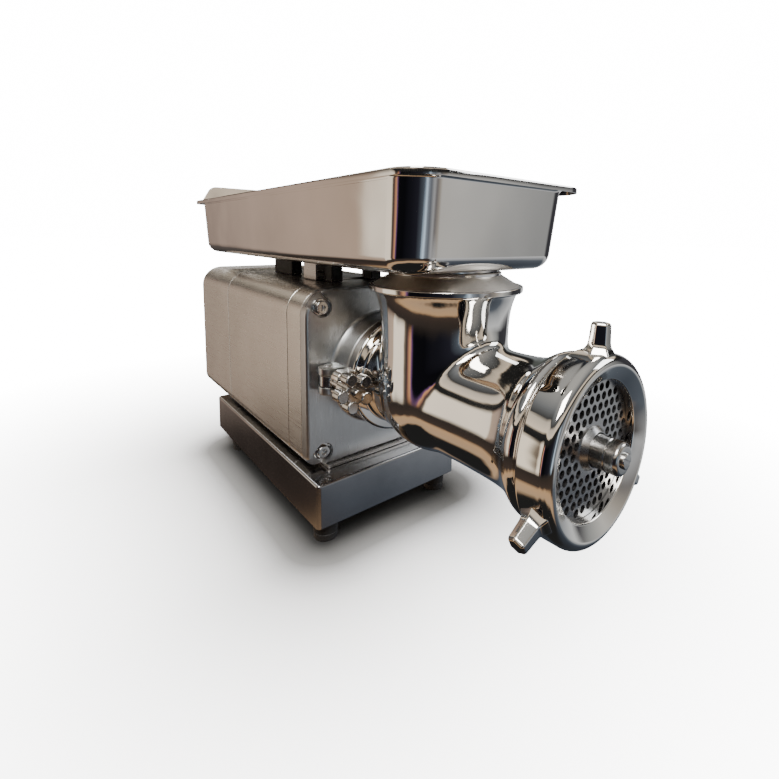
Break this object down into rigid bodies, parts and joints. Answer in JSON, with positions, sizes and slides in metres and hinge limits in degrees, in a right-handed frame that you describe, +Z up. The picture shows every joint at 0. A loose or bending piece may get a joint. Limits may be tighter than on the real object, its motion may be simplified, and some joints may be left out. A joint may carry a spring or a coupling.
{
  "type": "electric meat grinder",
  "caption": "Countertop meat grinder: a brushed motor body on a steel base box drives an auger in a clamped polished head, with a feed tray above and a ring nut in front.",
  "frame": {"origin": "on the worktop under the middle of the whole grinder", "axes": "+Z up, the outlet and ring nut face -Y, the motor is at +Y, +X is the right-hand side seen from the outlet end looking back"},
  "size_m": [0.2004, 0.633, 0.369],
  "materials": {
    "polished_steel": "mirror polished",
    "brushed_steel": "brushed along the length",
    "satin_steel": "satin",
    "machine_steel": "turned",
    "tool_steel": "ground",
    "cast_aluminium": "as cast",
    "lamination_steel": "stacked sheet",
    "copper_winding": "varnished wire",
    "black_rubber": "matte",
    "black_plastic": "fine grain",
    "green_plastic": "gloss",
    "red_plastic": "gloss"
  },
  "bodies": {
    "frame": {"base_box": "satin_steel", "foot_front_left": "black_rubber", "foot_front_right": "black_rubber", "foot_rear_left": "black_rubber", "foot_rear_right": "black_rubber", "riser_plate": "satin_steel", "cable_gland": "black_plastic", "gearbox_cover": "satin_steel", "cover_screw_1": "machine_steel", "cover_screw_2": "machine_steel", "cover_screw_3": "machine_steel", "cover_screw_4": "machine_steel", "gear_housing": "brushed_steel", "bearing_plate": "cast_aluminium", "output_seal": "black_rubber", "output_front_bearing": "machine_steel", "output_rear_bearing": "machine_steel", "idler_front_bearing": "machine_steel", "idler_rear_bearing": "machine_steel", "motor_shell": "brushed_steel", "stator_core": "lamination_steel", "stator_coil_front": "copper_winding", "stator_coil_rear": "copper_winding", "motor_end_shield": "cast_aluminium", "motor_front_bearing": "machine_steel", "motor_rear_bearing": "machine_steel", "rear_cap": "brushed_steel", "run_capacitor": "black_plastic", "switch_box": "black_plastic", "head_casting": "polished_steel", "plate_key": "machine_steel", "perforated_plate": "tool_steel", "pivot_pin_left": "machine_steel", "pivot_pin_right": "machine_steel", "tray_bracket": "satin_steel", "tray_block_front_left": "black_rubber", "tray_block_front_right": "black_rubber", "tray_block_rear_left": "black_rubber", "tray_block_rear_right": "black_rubber"},
    "tray": {"tray": "polished_steel"},
    "auger_line": {"auger": "polished_steel", "auger_pin": "tool_steel", "knife": "tool_steel", "output_shaft": "machine_steel", "output_gear": "machine_steel"},
    "idler": {"idler_shaft": "machine_steel", "idler_pinion": "machine_steel", "idler_gear": "machine_steel"},
    "rotor": {"motor_shaft": "machine_steel", "rotor_core": "lamination_steel", "cooling_fan": "black_plastic"},
    "ring_nut": {"ring_nut": "polished_steel"},
    "left_bolt": {"swing_bolt_left": "machine_steel"},
    "right_bolt": {"swing_bolt_right": "machine_steel"},
    "left_knob": {"clamp_knob_left": "machine_steel"},
    "right_knob": {"clamp_knob_right": "machine_steel"},
    "start_button": {"start_button": "green_plastic"},
    "stop_button": {"stop_button": "red_plastic"}
  },
  "joints": [
    {"name": "auger_spin", "type": "hinge", "parent": "frame", "child": "auger_line", "pos_m": [0, -0.04445, 0.1621], "axis": [0, 1, 0], "continuous": true},
    {"name": "idler_spin", "type": "hinge", "parent": "frame", "child": "idler", "pos_m": [-0.0297, 0.01355, 0.1324], "axis": [0, 1, 0], "continuous": true},
    {"name": "rotor_spin", "type": "hinge", "parent": "frame", "child": "rotor", "pos_m": [0, 0.10055, 0.1621], "axis": [0, 1, 0], "continuous": true},
    {"name": "ring_turn", "type": "hinge", "parent": "frame", "child": "ring_nut", "pos_m": [0, -0.28945, 0.1621], "axis": [0, 1, 0], "range_deg": [0, 360]},
    {"name": "left_bolt_swing", "type": "hinge", "parent": "frame", "child": "left_bolt", "pos_m": [-0.069, -0.05545, 0.1621], "axis": [0, 0, -1], "range_deg": [0, 75]},
    {"name": "right_bolt_swing", "type": "hinge", "parent": "frame", "child": "right_bolt", "pos_m": [0.069, -0.05545, 0.1621], "axis": [0, 0, 1], "range_deg": [0, 75]},
    {"name": "left_knob_turn", "type": "hinge", "parent": "left_bolt", "child": "left_knob", "pos_m": [-0.069, -0.09445, 0.1621], "axis": [0, 1, 0], "range_deg": [0, 360]},
    {"name": "right_knob_turn", "type": "hinge", "parent": "right_bolt", "child": "right_knob", "pos_m": [0.069, -0.09445, 0.1621], "axis": [0, 1, 0], "range_deg": [0, 360]},
    {"name": "tray_lift", "type": "slide", "parent": "frame", "child": "tray", "axis": [0, 0, 1], "range_m": [0, 0.15]},
    {"name": "start_press", "type": "slide", "parent": "frame", "child": "start_button", "axis": [-1, 0, 0], "range_m": [0, 0.0025], "stiffness_N_per_m": 500},
    {"name": "stop_press", "type": "slide", "parent": "frame", "child": "stop_button", "axis": [-1, 0, 0], "range_m": [0, 0.0025], "stiffness_N_per_m": 500}
  ],
  "couplings": [
    {"joint": "idler_spin", "follows": "auger_spin", "ratio": -2.6923},
    {"joint": "rotor_spin", "follows": "auger_spin", "ratio": 9.8718}
  ]
}
